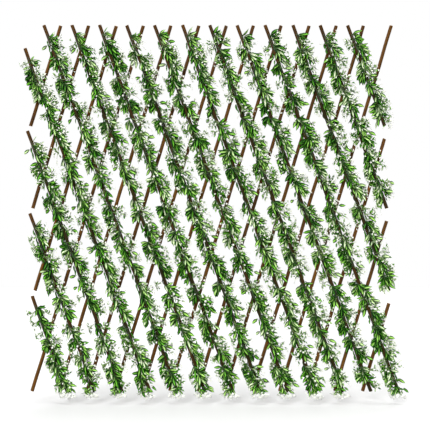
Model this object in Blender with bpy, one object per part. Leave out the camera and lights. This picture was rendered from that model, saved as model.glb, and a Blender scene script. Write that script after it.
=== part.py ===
"""Expandable fence: a scissor lattice of round willow rods, dressed with leaf garlands and flowers.

Every front rod leans to the left and carries its nails, a garland and, at most feet, a bunch of
white flowers. Every back rod leans to the right and turns on the nails in clearance holes, so the
whole lattice opens and closes as one. Metres, +Z up, the front of the fence looks along -Y. The
origin is on the nail in the middle of the second row, between the front and the back rod.
"""

import math
from collections import namedtuple

import bmesh
import bpy
from mathutils import Euler, Matrix, Vector

# Fence as it stands half open: its height over the rods, its width over the outermost nails, and
# how far each row of nails lies to the right of the one above
FENCE_HEIGHT = 1.154
NAILED_WIDTH = 1.044
ROW_DRIFT = 0.0038
ROWS = 9
COLUMNS = 12
TOP_OVERHANG = 0.077
FOOT_OVERHANG = 0.037
SIDE_OVERHANG = 0.110
UPPER_LEFT_OVERHANG = 0.134
MIDDLE_ROW = 1

# Rods
ROD_HALF_WIDTH = 0.005
ROD_SIDES = 8
ROD_GAP = 0.0003

# Nails, tight in their front rods, and the holes of the back rods that turn on them
NAIL_RADIUS = 0.00105
NAIL_SIDES = 5
NAIL_HEAD_RADIUS = 0.0016
NAIL_HEAD_HEIGHT = 0.0010
NAIL_TIP = 0.0012
HOLE_CLEARANCE = 0.00055
CUT_OVERRUN = 0.001

# Clearance between what is tied to a rod and the rod
SEAT_GAP = 0.0003

# Garland stem: tied at the rod's top, then by turns straight down in front and once round the rod
STEM_RADIUS = 0.0011
TURN_POINTS = 6
TIE_HEIGHT = 0.014
TIE_MARGIN = 0.005
GARLAND_END = 0.045
STEM_SWAY = math.radians(25.0)
STRAIGHT_POINT_SHARES = (1 / 3, 2 / 3)

# Leaves: those on the right reach further forward, so that folded neighbours slide past each other
LEAF_LENGTH = 0.030
LEAF_WIDTH = 0.011
LEAF_THICKNESS = 0.0018
LEAF_ARCH = 0.0015
LEAF_WIDEST_SHARE = 0.42
RIGHT_LEAF = (math.radians(48.0), math.radians(32.0))
LEFT_LEAF = (math.radians(-28.0), math.radians(6.0))
HANGING_LEAF = (math.radians(10.0), math.radians(24.0))
STRAIGHT_FIELD_SHARES = ((0.18, RIGHT_LEAF), (0.50, LEFT_LEAF), (0.80, HANGING_LEAF))
WOUND_FIELD_SHARES = ((0.02, LEFT_LEAF), (0.12, RIGHT_LEAF), (0.94, HANGING_LEAF))

# Flower bunches, each on a stalk in front of a rod's foot
STALK_RADIUS = 0.0014
STALK_ABOVE_FOOT = 0.012
STALK_BELOW_FOOT = 0.026
BLOSSOM_RADIUS = 0.0072
BLOSSOM_DEPTH = 0.0055
BLOSSOM_SIDES = 5
BLOSSOM_FORWARD = 0.0010
BLOSSOM_REACH = 0.0048
BLOSSOM_TURN = math.radians(14.0)
BLOSSOM_HEIGHT_SHARES = (0.10, 0.39, 0.68, 0.97)
BARE_FOOT = 12

WELD_DISTANCE = 0.00001
FENCE_NAME = "expandable_fence"

# Sizes that follow: the nails' spacing, the rods' leans, and where the rods' axes lie
ROW_DROP = (FENCE_HEIGHT - TOP_OVERHANG - FOOT_OVERHANG) / (ROWS - 1)
PITCH = NAILED_WIDTH / COLUMNS
FRONT_LEAN = math.atan((PITCH / 2 + ROW_DRIFT) / ROW_DROP)
BACK_LEAN = math.atan((PITCH / 2 - ROW_DRIFT) / ROW_DROP)
FRONT_PITCH = ROW_DROP / math.cos(FRONT_LEAN)
BACK_PITCH = ROW_DROP / math.cos(BACK_LEAN)
ROD_OFFSET = ROD_HALF_WIDTH + ROD_GAP / 2
ROD_CORNER = ROD_HALF_WIDTH / math.cos(math.pi / ROD_SIDES)
FRONT_FACE = -ROD_OFFSET - ROD_HALF_WIDTH

# Crossings are counted by row and by half steps of the pitch, from the first one of the top row
LAST_ROW = ROWS - 1
LAST_HALF = 2 * COLUMNS - 2
MIDDLE_HALF = COLUMNS - 1

Rod = namedtuple("Rod", "family number nails hinge")


def crossings():
    """All crossings as (row, half): odd rows reach half a pitch further on both sides."""
    found = []
    for row in range(ROWS):
        reach = row % 2
        found += [(row, half) for half in range(-reach, LAST_HALF + reach + 1, 2)]
    return found


def place_of(row, half):
    """Where a crossing lies, on the plane between the front and the back rods."""
    across = (half - MIDDLE_HALF) * PITCH / 2 + (row - MIDDLE_ROW) * ROW_DRIFT
    return Vector((across, 0.0, (MIDDLE_ROW - row) * ROW_DROP))


def rod_key(family, row, half):
    """Along a front rod half minus row stays the same, along a back rod half plus row."""
    return (family, half - row) if family == "front" else (family, half + row)


def lattice_rods():
    """All rods, counted from the left, with their nails from the top and their hinge."""
    nails = {}
    for row, half in crossings():
        for family in ("back", "front"):
            nails.setdefault(rod_key(family, row, half), []).append((row, half))
    hinges = hinge_of_each_rod(nails)
    rods = []
    for family in ("back", "front"):
        keys = sorted(key for key in nails if key[0] == family)
        rods += [Rod(family, number, nails[key], hinges[key])
                 for number, key in enumerate(keys, start=1)]
    return rods


def hinge_of_each_rod(nails):
    """Goes outward from the middle front rod: each rod hinges on the nail where it is first met."""
    middle = rod_key("front", MIDDLE_ROW, MIDDLE_HALF)
    hinges = {middle: (MIDDLE_ROW, MIDDLE_HALF)}
    waiting = [middle]
    while waiting:
        reached = waiting.pop(0)
        other_family = "back" if reached[0] == "front" else "front"
        for row, half in nails[reached]:
            other = rod_key(other_family, row, half)
            if other not in hinges:
                hinges[other] = (row, half)
                waiting.append(other)
    return hinges


def reaches_foot_line(rod):
    """Whether a rod goes down to the fence's lower edge."""
    return rod.nails[-1][0] >= LAST_ROW - 1


def overhangs(rod):
    """Upright lengths of a rod above its first nail and below its last one."""
    first_row, first_half = rod.nails[0]
    last_row = rod.nails[-1][0]
    rise, fall = SIDE_OVERHANG, SIDE_OVERHANG
    if first_row == 0:
        rise = TOP_OVERHANG
    elif first_row == 1 and rod.family == "back":
        rise = ROW_DROP + TOP_OVERHANG
    elif first_half < 0:
        rise = UPPER_LEFT_OVERHANG
    if reaches_foot_line(rod):
        fall = (LAST_ROW - last_row) * ROW_DROP + FOOT_OVERHANG
    return rise, fall


def new_collection(name):
    """A new collection under the scene's own."""
    collection = bpy.data.collections.new(name)
    bpy.context.scene.collection.children.link(collection)
    return collection


def plain_material(name, rgb, roughness, metallic=0.0):
    """A Principled material with one colour, roughness and metallic value."""
    material = bpy.data.materials.new(name)
    material.use_nodes = True
    shader = material.node_tree.nodes["Principled BSDF"]
    shader.inputs["Base Color"].default_value = (*rgb, 1.0)
    shader.inputs["Roughness"].default_value = roughness
    shader.inputs["Metallic"].default_value = metallic
    material.diffuse_color = (*rgb, 1.0)
    return material


def new_object(name, mesh, collection, parent=None):
    """Links a new object that shows the mesh and rides on its parent."""
    piece = bpy.data.objects.new(name, mesh)
    piece.parent = parent
    collection.objects.link(piece)
    return piece


def mesh_from(name, shape):
    """Turns a finished bmesh into a mesh."""
    mesh = bpy.data.meshes.new(name)
    shape.to_mesh(mesh)
    shape.free()
    return mesh


def add_prism(shape, sides, half_width, low, high, turn):
    """Adds a prism along Z from low to high, its flats half_width from the axis, then turned."""
    corner_radius = half_width / math.cos(math.pi / sides)
    middle = Matrix.Translation((0.0, 0.0, (low + high) / 2))
    flat_forward = Matrix.Rotation(math.pi / sides, 4, "Z")
    bmesh.ops.create_cone(shape, cap_ends=True, segments=sides, radius1=corner_radius,
                          radius2=corner_radius, depth=high - low,
                          matrix=turn @ middle @ flat_forward)


def tube_mesh(name, points, radius, collection):
    """A four-sided tube along the points, as a mesh whose end caps are welded on."""
    route = bpy.data.curves.new(name, "CURVE")
    route.dimensions = "3D"
    route.bevel_depth = radius
    route.bevel_resolution = 0
    route.use_fill_caps = True
    spline = route.splines.new("POLY")
    spline.points.add(len(points) - 1)
    for spot, point in zip(spline.points, points):
        spot.co = (*point, 1.0)
    guide = new_object(f"{name}_route", route, collection)
    seen = guide.evaluated_get(bpy.context.evaluated_depsgraph_get())
    shape = bmesh.new()
    shape.from_mesh(bpy.data.meshes.new_from_object(seen))
    bmesh.ops.remove_doubles(shape, verts=shape.verts, dist=WELD_DISTANCE)
    bpy.data.objects.remove(guide, do_unlink=True)
    return mesh_from(name, shape)


def boolean(target, operation, guide):
    """Joins or cuts the target with the guide, which stays in the scene as a wire."""
    modifier = target.modifiers.new(operation.title(), "BOOLEAN")
    modifier.operation = operation
    modifier.solver = "EXACT"
    modifier.use_self = operation == "UNION"
    modifier.object = guide
    guide.hide_render = True
    guide.display_type = "WIRE"


def nail_guides(name, heights, radius, near, far, rod, guides):
    """Bars along Y, one at each height of the rod, from depth near to depth far."""
    shape = bmesh.new()
    for height in heights:
        turn = Matrix.Translation((0.0, 0.0, height)) @ Matrix.Rotation(-math.pi / 2, 4, "X")
        add_prism(shape, NAIL_SIDES, radius, near, far, turn)
    return new_object(name, mesh_from(name, shape), guides, rod)


def willow_rod(rod, name, span, heights, fence, guides, willow):
    """An eight-sided rod that turns about its hinge, with its nails or its nail holes."""
    front = rod.family == "front"
    depth = -ROD_OFFSET if front else ROD_OFFSET
    shape = bmesh.new()
    add_prism(shape, ROD_SIDES, ROD_HALF_WIDTH, *span, Matrix.Translation((0.0, depth, 0.0)))
    piece = new_object(name, mesh_from(name, shape), fence)
    piece.location = place_of(*rod.hinge)
    piece.rotation_euler = Euler((0.0, -FRONT_LEAN if front else BACK_LEAN, 0.0))
    piece.data.materials.append(willow)
    back_face = ROD_OFFSET + ROD_HALF_WIDTH
    if front:
        shafts = nail_guides(f"{name}_shafts", heights, NAIL_RADIUS, depth,
                             back_face + NAIL_TIP, piece, guides)
        heads = nail_guides(f"{name}_heads", heights, NAIL_HEAD_RADIUS,
                            FRONT_FACE - NAIL_HEAD_HEIGHT, depth, piece, guides)
        boolean(piece, "UNION", shafts)
        boolean(piece, "UNION", heads)
    else:
        holes = nail_guides(f"{name}_holes", heights, NAIL_RADIUS + HOLE_CLEARANCE,
                            -CUT_OVERRUN, back_face + CUT_OVERRUN, piece, guides)
        boolean(piece, "DIFFERENCE", holes)
    return piece


def beside_rod(angle, radius, height):
    """A point beside the front rod: angle 0 is in front of it, a quarter turn is at its right."""
    return Vector((radius * math.sin(angle), -ROD_OFFSET - radius * math.cos(angle), height))


def stem_points(top, end, heights):
    """The stem's route: a tie at the top, then by turns straight and wound fields."""
    chord = math.cos(math.pi / TURN_POINTS)
    wound = (ROD_CORNER + SEAT_GAP + STEM_RADIUS) / chord
    ahead = (ROD_HALF_WIDTH + NAIL_HEAD_HEIGHT + SEAT_GAP + STEM_RADIUS) / chord
    turn_shares = [(index + 0.5) / TURN_POINTS for index in range(TURN_POINTS)]
    radii = [ahead] + [wound] * (TURN_POINTS - 2) + [ahead]

    def one_turn(start, length):
        return [beside_rod(2 * math.pi * share, radius, start - share * length)
                for share, radius in zip(turn_shares, radii)]

    points = one_turn(top - TIE_MARGIN, TIE_HEIGHT)
    for field, (upper, lower) in enumerate(zip(heights, heights[1:])):
        if field % 2:
            points += one_turn(upper, upper - lower)
        else:
            points += [beside_rod(sway, ahead, upper + share * (lower - upper))
                       for share, sway in zip(STRAIGHT_POINT_SHARES, (STEM_SWAY, -STEM_SWAY))]
    points = [point for point in points if point.z > end + STEM_RADIUS]
    return points + [beside_rod(0.0, ahead, end)]


def point_at(points, height):
    """The place on the stem's route at a height."""
    for upper, lower in zip(points, points[1:]):
        if upper.z >= height >= lower.z:
            return upper.lerp(lower, (upper.z - height) / (upper.z - lower.z))
    return points[-1]


def leaf_places(end, heights):
    """Height and bearing of each leaf, all of them where the stem is in front of the rod."""
    found = []
    for field, upper in enumerate(heights):
        table = WOUND_FIELD_SHARES if field % 2 else STRAIGHT_FIELD_SHARES
        found += [(upper - share * FRONT_PITCH, bearing) for share, bearing in table]
    return [(height, bearing) for height, bearing in found if height > end + LEAF_WIDTH]


def add_leaf(shape, base, bearing):
    """A lance-shaped leaf: an arched double pyramid hung from its base, tilted and swung aside."""
    swing, tilt = bearing
    turn = Matrix.Rotation(-swing, 4, "Y") @ Matrix.Rotation(-tilt, 4, "X")
    made = bmesh.ops.create_uvsphere(shape, u_segments=4, v_segments=2, radius=1.0)["verts"]
    for vert in made:
        along_share = (1 - vert.co.z) / 2
        arch = 0.0
        if round(vert.co.z) == 0:
            along_share = LEAF_WIDEST_SHARE
            arch = LEAF_ARCH
        flat = Vector((vert.co.x * LEAF_WIDTH / 2, vert.co.y * LEAF_THICKNESS / 2 - arch,
                       -along_share * LEAF_LENGTH))
        vert.co = base + turn @ flat


def leaf_garland(name, rod, span, heights, fence, guides, foliage):
    """The stem as a tube along its route, with the leaves grown onto it."""
    foot, top = span
    end = foot + GARLAND_END
    points = stem_points(top, end, heights)
    garland = new_object(name, tube_mesh(name, points, STEM_RADIUS, guides), fence, rod)
    garland.data.materials.append(foliage)
    shape = bmesh.new()
    for height, bearing in leaf_places(end, heights):
        add_leaf(shape, point_at(points, height), bearing)
    leaves = new_object(f"{name}_leaves", mesh_from(name, shape), guides, rod)
    boolean(garland, "UNION", leaves)


def add_blossom(shape, centre, turn):
    """A blossom as a flat five-sided double pyramid that faces forward, its rim turned."""
    flat = Matrix.Diagonal((BLOSSOM_RADIUS, BLOSSOM_RADIUS, BLOSSOM_DEPTH / 2, 1.0))
    forward = Matrix.Rotation(turn, 4, "Z") @ Matrix.Rotation(math.pi / 2, 4, "X")
    bmesh.ops.create_uvsphere(shape, u_segments=BLOSSOM_SIDES, v_segments=2, radius=1.0,
                              matrix=Matrix.Translation(centre) @ forward @ flat)


def flower_bunch(name, rod, span, fence, guides, petals):
    """A stalk tied to the front of the rod's foot, with blossoms on both of its sides."""
    foot = span[0]
    depth = FRONT_FACE - SEAT_GAP - STALK_RADIUS
    stalk = [Vector((0.0, depth, height))
             for height in (foot + STALK_ABOVE_FOOT, foot - STALK_BELOW_FOOT)]
    bunch = new_object(name, tube_mesh(name, stalk, STALK_RADIUS, guides), fence, rod)
    bunch.data.materials.append(petals)
    length = STALK_ABOVE_FOOT + STALK_BELOW_FOOT
    for count, share in enumerate(BLOSSOM_HEIGHT_SHARES):
        side = 1 if count % 2 else -1
        centre = Vector((side * BLOSSOM_REACH, depth - BLOSSOM_FORWARD,
                         foot + STALK_ABOVE_FOOT - share * length))
        shape = bmesh.new()
        add_blossom(shape, centre, -side * BLOSSOM_TURN)
        blossom = new_object(f"{name}_blossom_{count}", mesh_from(name, shape), guides, rod)
        boolean(bunch, "UNION", blossom)


def build_fence():
    """The whole fence: rods on their hinges, and what each front rod carries."""
    for leftover in list(bpy.data.objects):
        bpy.data.objects.remove(leftover, do_unlink=True)
    fence = new_collection(FENCE_NAME)
    guides = new_collection("cutters")
    willow = plain_material("willow", (0.24, 0.115, 0.055), 0.6)
    foliage = plain_material("foliage", (0.10, 0.24, 0.03), 0.5)
    petals = plain_material("petals", (0.82, 0.82, 0.74), 0.8)

    bunches = 0
    for rod in lattice_rods():
        front = rod.family == "front"
        lean, pitch = (FRONT_LEAN, FRONT_PITCH) if front else (BACK_LEAN, BACK_PITCH)
        heights = [(rod.hinge[0] - row) * pitch for row, _ in rod.nails]
        rise, fall = overhangs(rod)
        span = (heights[-1] - fall / math.cos(lean), heights[0] + rise / math.cos(lean))
        name = f"{rod.family}_rod_{rod.number:02d}"
        piece = willow_rod(rod, name, span, heights, fence, guides, willow)
        if not front:
            continue
        leaf_garland(f"leaf_garland_{rod.number:02d}", piece, span, heights, fence, guides, foliage)
        if reaches_foot_line(rod) and rod.number != BARE_FOOT:
            bunches += 1
            flower_bunch(f"flower_bunch_{bunches:02d}", piece, span, fence, guides, petals)


build_fence()
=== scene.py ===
"""Looks of the expandable fence: willow rods, nails, leaf garlands and small white flowers.

Metres, in the frame of the CAD model: +Z up, the front looks along -Y, and the origin is on the
nail in the middle of the second row, between the front and the back rod. Every piece is a surface
worked out as whole arrays: one parameter goes along it, the other goes round it. What a front rod
carries rides on that rod's body, so that each garland turns with its rod as the fence opens.
"""

import math
from collections import namedtuple

import bpy
import numpy as np
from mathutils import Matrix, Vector


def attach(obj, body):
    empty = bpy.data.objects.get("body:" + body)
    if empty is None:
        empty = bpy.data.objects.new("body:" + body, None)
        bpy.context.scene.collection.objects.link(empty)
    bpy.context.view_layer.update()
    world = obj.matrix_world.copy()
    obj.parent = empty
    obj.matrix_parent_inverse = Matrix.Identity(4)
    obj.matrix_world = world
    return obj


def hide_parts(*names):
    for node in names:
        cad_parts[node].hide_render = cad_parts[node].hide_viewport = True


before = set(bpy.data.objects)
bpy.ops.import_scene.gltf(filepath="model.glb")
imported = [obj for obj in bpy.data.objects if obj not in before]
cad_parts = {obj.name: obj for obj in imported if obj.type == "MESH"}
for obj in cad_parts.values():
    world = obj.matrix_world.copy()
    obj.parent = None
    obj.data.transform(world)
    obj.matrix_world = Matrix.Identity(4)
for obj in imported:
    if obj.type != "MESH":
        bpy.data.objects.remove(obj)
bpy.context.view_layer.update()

MM = 0.001

# Lattice, by the same driving sizes as the CAD model
FENCE_HEIGHT = 1.154
NAILED_WIDTH = 1.044
ROW_DRIFT = 0.0038
ROWS = 9
COLUMNS = 12
TOP_OVERHANG = 0.077
FOOT_OVERHANG = 0.037
SIDE_OVERHANG = 0.110
UPPER_LEFT_OVERHANG = 0.134
MIDDLE_ROW = 1
BARE_FOOT = 12
ROD_RADIUS = 0.00495
ROD_OFFSET = 0.00515
CAD_HALF_WIDTH = 0.005
ROD_FACE = ROD_OFFSET + CAD_HALF_WIDTH

ROW_DROP = (FENCE_HEIGHT - TOP_OVERHANG - FOOT_OVERHANG) / (ROWS - 1)
PITCH = NAILED_WIDTH / COLUMNS
FRONT_SLOPE = (PITCH / 2 + ROW_DRIFT) / ROW_DROP
BACK_SLOPE = (PITCH / 2 - ROW_DRIFT) / ROW_DROP
MIDDLE_HALF = COLUMNS - 1

# Directions
RIGHT = np.array((1.0, 0.0, 0.0))
FORWARD = np.array((0.0, -1.0, 0.0))
UP = np.array((0.0, 0.0, 1.0))
# Radians, close to a whole turn
ANY_WAY = 6.0

Rod = namedtuple("Rod", "family number top down right length nails pitch foot_line")
Surface = namedtuple("Surface", "points corners sizes uv marks")
# A leaf's width as a share of its length, how far it bends in radians, and how far its sides fold
LeafShape = namedtuple("LeafShape", "slimness curl cup")


def lattice_rods(family):
    """The rods of one family from the left. A crossing is a row and a place along it in half
    pitches: half minus row stays the same along a front rod, half plus row along a back rod. Each
    rod has its top end, its direction, and its nails' distances."""
    front = family == "front"
    slope = FRONT_SLOPE if front else BACK_SLOPE
    stretch = math.hypot(1.0, slope)
    lean = 1.0 if front else -1.0
    down = np.array((lean * slope, 0.0, -1.0)) / stretch
    right = np.array((1.0, 0.0, lean * slope)) / stretch
    crossings = {}
    for row in range(ROWS):
        reach = row % 2
        for half in range(-reach, 2 * COLUMNS - 1 + reach, 2):
            crossings.setdefault(half - lean * row, []).append((row, half))
    rods = []
    for number, key in enumerate(sorted(crossings), start=1):
        nails = crossings[key]
        first_row, first_half = nails[0]
        last_row = nails[-1][0]
        rise, fall = SIDE_OVERHANG, SIDE_OVERHANG
        if first_row == 0:
            rise = TOP_OVERHANG
        elif first_row == 1 and not front:
            rise = ROW_DROP + TOP_OVERHANG
        elif first_half < 0:
            rise = UPPER_LEFT_OVERHANG
        foot_line = last_row >= ROWS - 2
        if foot_line:
            fall = (ROWS - 1 - last_row) * ROW_DROP + FOOT_OVERHANG
        first = np.array(((first_half - MIDDLE_HALF) * PITCH / 2
                          + (first_row - MIDDLE_ROW) * ROW_DRIFT,
                          -ROD_OFFSET if front else ROD_OFFSET,
                          (MIDDLE_ROW - first_row) * ROW_DROP))
        distances = (rise + np.arange(len(nails)) * ROW_DROP) * stretch
        rods.append(Rod(family, number, first - rise * stretch * down, down, right,
                        distances[-1] + fall * stretch, distances, ROW_DROP * stretch, foot_line))
    return rods


# Meshes


def unit(vectors):
    """The vectors at length one."""
    return vectors / np.linalg.norm(vectors, axis=-1, keepdims=True)


def ring_angles(sides):
    """The angles of a ring's corners."""
    return 2 * np.pi * np.arange(sides) / sides


def skins(points, girth, along, **marks):
    """Closed skins from grids of points: axis 0 counts the skins, axis 1 goes along them from pole
    to pole, axis 2 goes round them. In the UV map girth is the way round, and along are the rings'
    places. The marks are numbers for each point. If the first skin comes out inside out, all are
    turned."""
    count, rings, around = points.shape[:3]
    across = girth * np.arange(around + 1) / around
    places = np.zeros((rings, around + 1), int)
    places[1:-1, :-1] = 1 + np.arange((rings - 2) * around).reshape(rings - 2, around)
    places[1:-1, -1] = places[1:-1, 0]
    places[-1] = (rings - 2) * around + 1
    rows, columns = np.mgrid[:rings - 1, :around]
    corner_rows = np.stack([rows, rows + 1, rows + 1, rows], -1)
    corner_columns = np.stack([columns, columns, columns + 1, columns + 1], -1)
    used = np.ones(corner_rows.shape, bool)
    used[0, :, 3] = False
    used[-1, :, 2] = False
    first = points[0]
    corner_points = first[corner_rows, corner_columns % around]
    volume = np.einsum("...i,...i", corner_points[..., 0, :],
                       np.cross(corner_points[..., 1, :], corner_points[..., 2, :])).sum()
    volume += np.einsum("...i,...i", corner_points[..., 0, :],
                        np.cross(corner_points[..., 2, :], corner_points[..., 3, :])).sum()
    if volume < 0:
        corner_rows, corner_columns, used = (grid[..., ::-1]
                                             for grid in (corner_rows, corner_columns, used))

    def once(grid):
        """The grid's values, those at each pole only once."""
        rest = grid[:, 1:-1].reshape(count, -1, *grid.shape[3:])
        return np.concatenate([grid[:, 0, :1], rest, grid[:, -1, :1]], 1)

    kept = once(points)
    corners = places[corner_rows, corner_columns][used]
    corners = corners + np.arange(count)[:, None] * kept.shape[1]
    along = np.broadcast_to(along, (count, rings))
    uv = np.stack([np.broadcast_to(across[corner_columns][used], corners.shape),
                   along[:, corner_rows[used]]], -1)
    shape = points.shape[:3]
    kept_marks = {name: once(np.broadcast_to(mark, shape)).reshape(-1)
                  for name, mark in marks.items()}
    return Surface(kept.reshape(-1, 3), corners.reshape(-1),
                   np.tile(used.sum(-1).reshape(-1), count), uv.reshape(-1, 2), kept_marks)


def linked(name, data):
    """A new object in the scene, at the origin."""
    made = bpy.data.objects.new(name, data)
    bpy.context.scene.collection.objects.link(made)
    return made


def piece(name, coats, body, nodes):
    """One object from pairs of surface and material. It rides on the body and stands for the
    nodes."""
    mesh = bpy.data.meshes.new(name)
    surfaces = [surface for surface, _ in coats]
    points = np.concatenate([surface.points for surface in surfaces])
    firsts = np.cumsum([0] + [len(surface.points) for surface in surfaces[:-1]])
    corners = np.concatenate([surface.corners + first
                              for surface, first in zip(surfaces, firsts)])
    sizes = np.concatenate([surface.sizes for surface in surfaces])
    mesh.vertices.add(len(points))
    mesh.vertices.foreach_set("co", points.ravel())
    mesh.loops.add(len(corners))
    mesh.loops.foreach_set("vertex_index", corners)
    mesh.polygons.add(len(sizes))
    mesh.polygons.foreach_set("loop_start", np.cumsum(sizes) - sizes)
    mesh.polygons.foreach_set("use_smooth", np.ones(len(sizes), bool))
    materials = list(dict.fromkeys(material for _, material in coats))
    for material in materials:
        mesh.materials.append(material)
    numbers = [np.full(len(surface.sizes), materials.index(material))
               for surface, material in coats]
    mesh.polygons.foreach_set("material_index", np.concatenate(numbers))
    mesh.uv_layers.new(name="surface").data.foreach_set(
        "uv", np.concatenate([surface.uv for surface in surfaces]).ravel())
    for mark in sorted({mark for surface in surfaces for mark in surface.marks}):
        values = [surface.marks.get(mark, np.zeros(len(surface.points))) for surface in surfaces]
        layer = mesh.attributes.new(mark, "FLOAT", "POINT")
        layer.data.foreach_set("value", np.concatenate(values).astype(np.float32))
    mesh.update(calc_edges=True)
    mesh.validate()
    made = linked(name, mesh)
    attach(made, body)
    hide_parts(*nodes)


# Paths whose direction has a larger share fore and aft than this take their side from above
FORE_AND_AFT_SHARE = 0.8


def tubes(path, radius, sides, **marks):
    """Round tubes along paths, with flat ends. Axis 0 counts the tubes and axis 1 goes along them.
    Each ring is its path point plus radius times (cos a * side + sin a * lift), where side and
    lift are square to the path."""
    path = np.concatenate([path[:, :1], path, path[:, -1:]], 1)
    tangent = np.gradient(path[:, 1:-1], axis=1)
    tangent = unit(np.concatenate([tangent[:, :1], tangent, tangent[:, -1:]], 1))
    middle = unit(path[:, -1] - path[:, 0])[:, None]
    fore_and_aft = np.abs(middle @ FORWARD)[..., None] > FORE_AND_AFT_SHARE
    side = unit(np.cross(tangent, np.where(fore_and_aft, UP, FORWARD)))
    lift = np.cross(side, tangent)
    radii = np.broadcast_to(radius, path.shape[:2]).copy()
    radii[:, 0] = 0.0
    radii[:, -1] = 0.0
    angle = ring_angles(sides)
    ring = (np.cos(angle)[:, None] * side[:, :, None]
            + np.sin(angle)[:, None] * lift[:, :, None])
    points = path[:, :, None] + radii[..., None, None] * ring
    steps = np.linalg.norm(np.diff(path, axis=1), axis=-1)
    along = np.concatenate([np.zeros((len(path), 1)), np.cumsum(steps, 1)], 1)
    return skins(points, 2 * np.pi * np.max(radii), along, **marks)


# Rods and nails

ROD_SIDES = 14
RING_STEP = 8 * MM
END_BEVEL = 0.5 * MM
FIRST_RING = 3 * MM
# The rings on a cut end, as shares of the rod's radius
CUT_SHARES = np.array((0.0, 0.5, 0.93))
BEND_ASIDE = 1.1 * MM
BEND_DEEP = 0.5 * MM
BEND_LENGTH = 0.62
# Each rod's waves start elsewhere, by these phases times its number
PHASE_ASIDE = 1.7
PHASE_DEEP = 2.9
PACE_DEEP = 0.7
TAPER = 0.04
# The sticks are a little wider than they are deep
OVAL = 1.13
FLUTE_HEIGHT = 0.09 * MM
FLUTE_WAVES = (2, 3, 5)
FLUTE_DRIFT = 12.0
KNOT_HEIGHT = 0.65 * MM
KNOT_LENGTH = 4.5 * MM
KNOT_SPREAD = 2.2
KNOT_PLACES = (0.3, 0.7)
KNOT_SIZES = (0.3, 1.0)
CUT_SLANT = 0.22
CUT_REACH = 3 * END_BEVEL
# The dressed rods are darker than the bare ones: painted shade from their garlands, on top of a
# stain that differs at random. From some way below their tops they also darken to a patchy dark
# green, which is painted shade where the garland covers them
STAIN_AND_SHADE_TONES = {"front": (0.15, 0.6), "back": (0.6, 1.0)}
GARLAND_SHADE_FROM = 0.05
GARLAND_SHADE_LENGTH = 0.13


def axis_at(rod, along):
    """The rod's axis at a length below its top: a straight line plus a sideways and a fore-and-aft
    wave, sin(pi * fields) times a slow sine, which both vanish at the nails."""
    fields = (along - rod.nails[0]) / rod.pitch
    wave = np.sin(np.pi * fields)
    slow = 2 * np.pi * along / BEND_LENGTH
    aside = BEND_ASIDE * wave * np.sin(slow + PHASE_ASIDE * rod.number)
    deep = BEND_DEEP * wave * np.sin(PACE_DEEP * slow + PHASE_DEEP * rod.number)
    return (rod.top + along[..., None] * rod.down
            + aside[..., None] * rod.right + deep[..., None] * FORWARD)


def round_rod(rod, along, angle, radius):
    """Points round a rod: angle 0 is in front of it, a quarter turn is at its right. They keep to
    the stick's oval."""
    along, angle, radius = np.broadcast_arrays(along, angle, radius)
    return (axis_at(rod, along) + (radius * np.cos(angle))[..., None] * FORWARD
            + (OVAL * radius * np.sin(angle))[..., None] * rod.right)


def rod_surface(rod, draw):
    """A peeled stick: radius = a taper + low flutes + knots, each knot a bump exp(-(s/l)^2) along
    the rod and exp(spread * (cos a - 1)) round it. The ends are cut a little slanted."""
    body = np.linspace(FIRST_RING, rod.length - FIRST_RING, int(rod.length / RING_STEP))
    body = np.concatenate([[END_BEVEL], body, [rod.length - END_BEVEL]])
    ends = np.ones(len(CUT_SHARES))
    along = np.concatenate([0 * ends, body, rod.length * ends])
    shares = np.concatenate([CUT_SHARES, np.ones(len(body)), CUT_SHARES[::-1]])
    cut = np.concatenate([ends, np.zeros(len(body)), ends])
    angle = np.pi + ring_angles(ROD_SIDES)
    length, turn = np.meshgrid(along, angle, indexing="ij")
    radius = ROD_RADIUS * (1 + TAPER * (length / rod.length - 0.5))
    for waves in FLUTE_WAVES:
        phase = draw.uniform(0, 2 * np.pi)
        drift = draw.uniform(-FLUTE_DRIFT, FLUTE_DRIFT)
        radius = radius + FLUTE_HEIGHT / waves * np.sin(waves * turn + drift * length + phase)
    knot = np.zeros_like(radius)
    for field in range(len(rod.nails) + 1):
        place = rod.nails[0] + (field - draw.uniform(*KNOT_PLACES)) * rod.pitch
        toward = draw.uniform(0, 2 * np.pi)
        size = draw.uniform(*KNOT_SIZES)
        bump = np.exp(-((length - place) / KNOT_LENGTH) ** 2)
        knot = knot + size * bump * np.exp(KNOT_SPREAD * (np.cos(turn - toward) - 1))
    radius = (radius + KNOT_HEIGHT * knot) * shares[:, None]
    for end, lean in ((0.0, 1.0), (rod.length, -1.0)):
        near = np.clip(1 - np.abs(length - end) / CUT_REACH, 0, 1)
        slant = draw.uniform(0, CUT_SLANT)
        toward = draw.uniform(0, ANY_WAY)
        length = length + lean * near * slant * radius * np.cos(turn - toward)
    # Painted shade: on the dressed rods, from some way below the top, where the garland covers them
    dye = np.clip((along - GARLAND_SHADE_FROM) / GARLAND_SHADE_LENGTH, 0, 1) * (rod.family == "front")
    return skins(round_rod(rod, length, turn, radius)[None], 2 * np.pi * ROD_RADIUS, along,
                 knot=knot, cut=cut[:, None], dye=dye[:, None],
                 tone=draw.uniform(*STAIN_AND_SHADE_TONES[rod.family]))


NAIL_SIDES = 10
SHAFT_RADIUS = 1.05 * MM
HEAD_RADIUS = 1.9 * MM
HEAD_FRONT = -ROD_FACE - 1.0 * MM
TIP_BACK = ROD_FACE + 1.2 * MM
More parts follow.
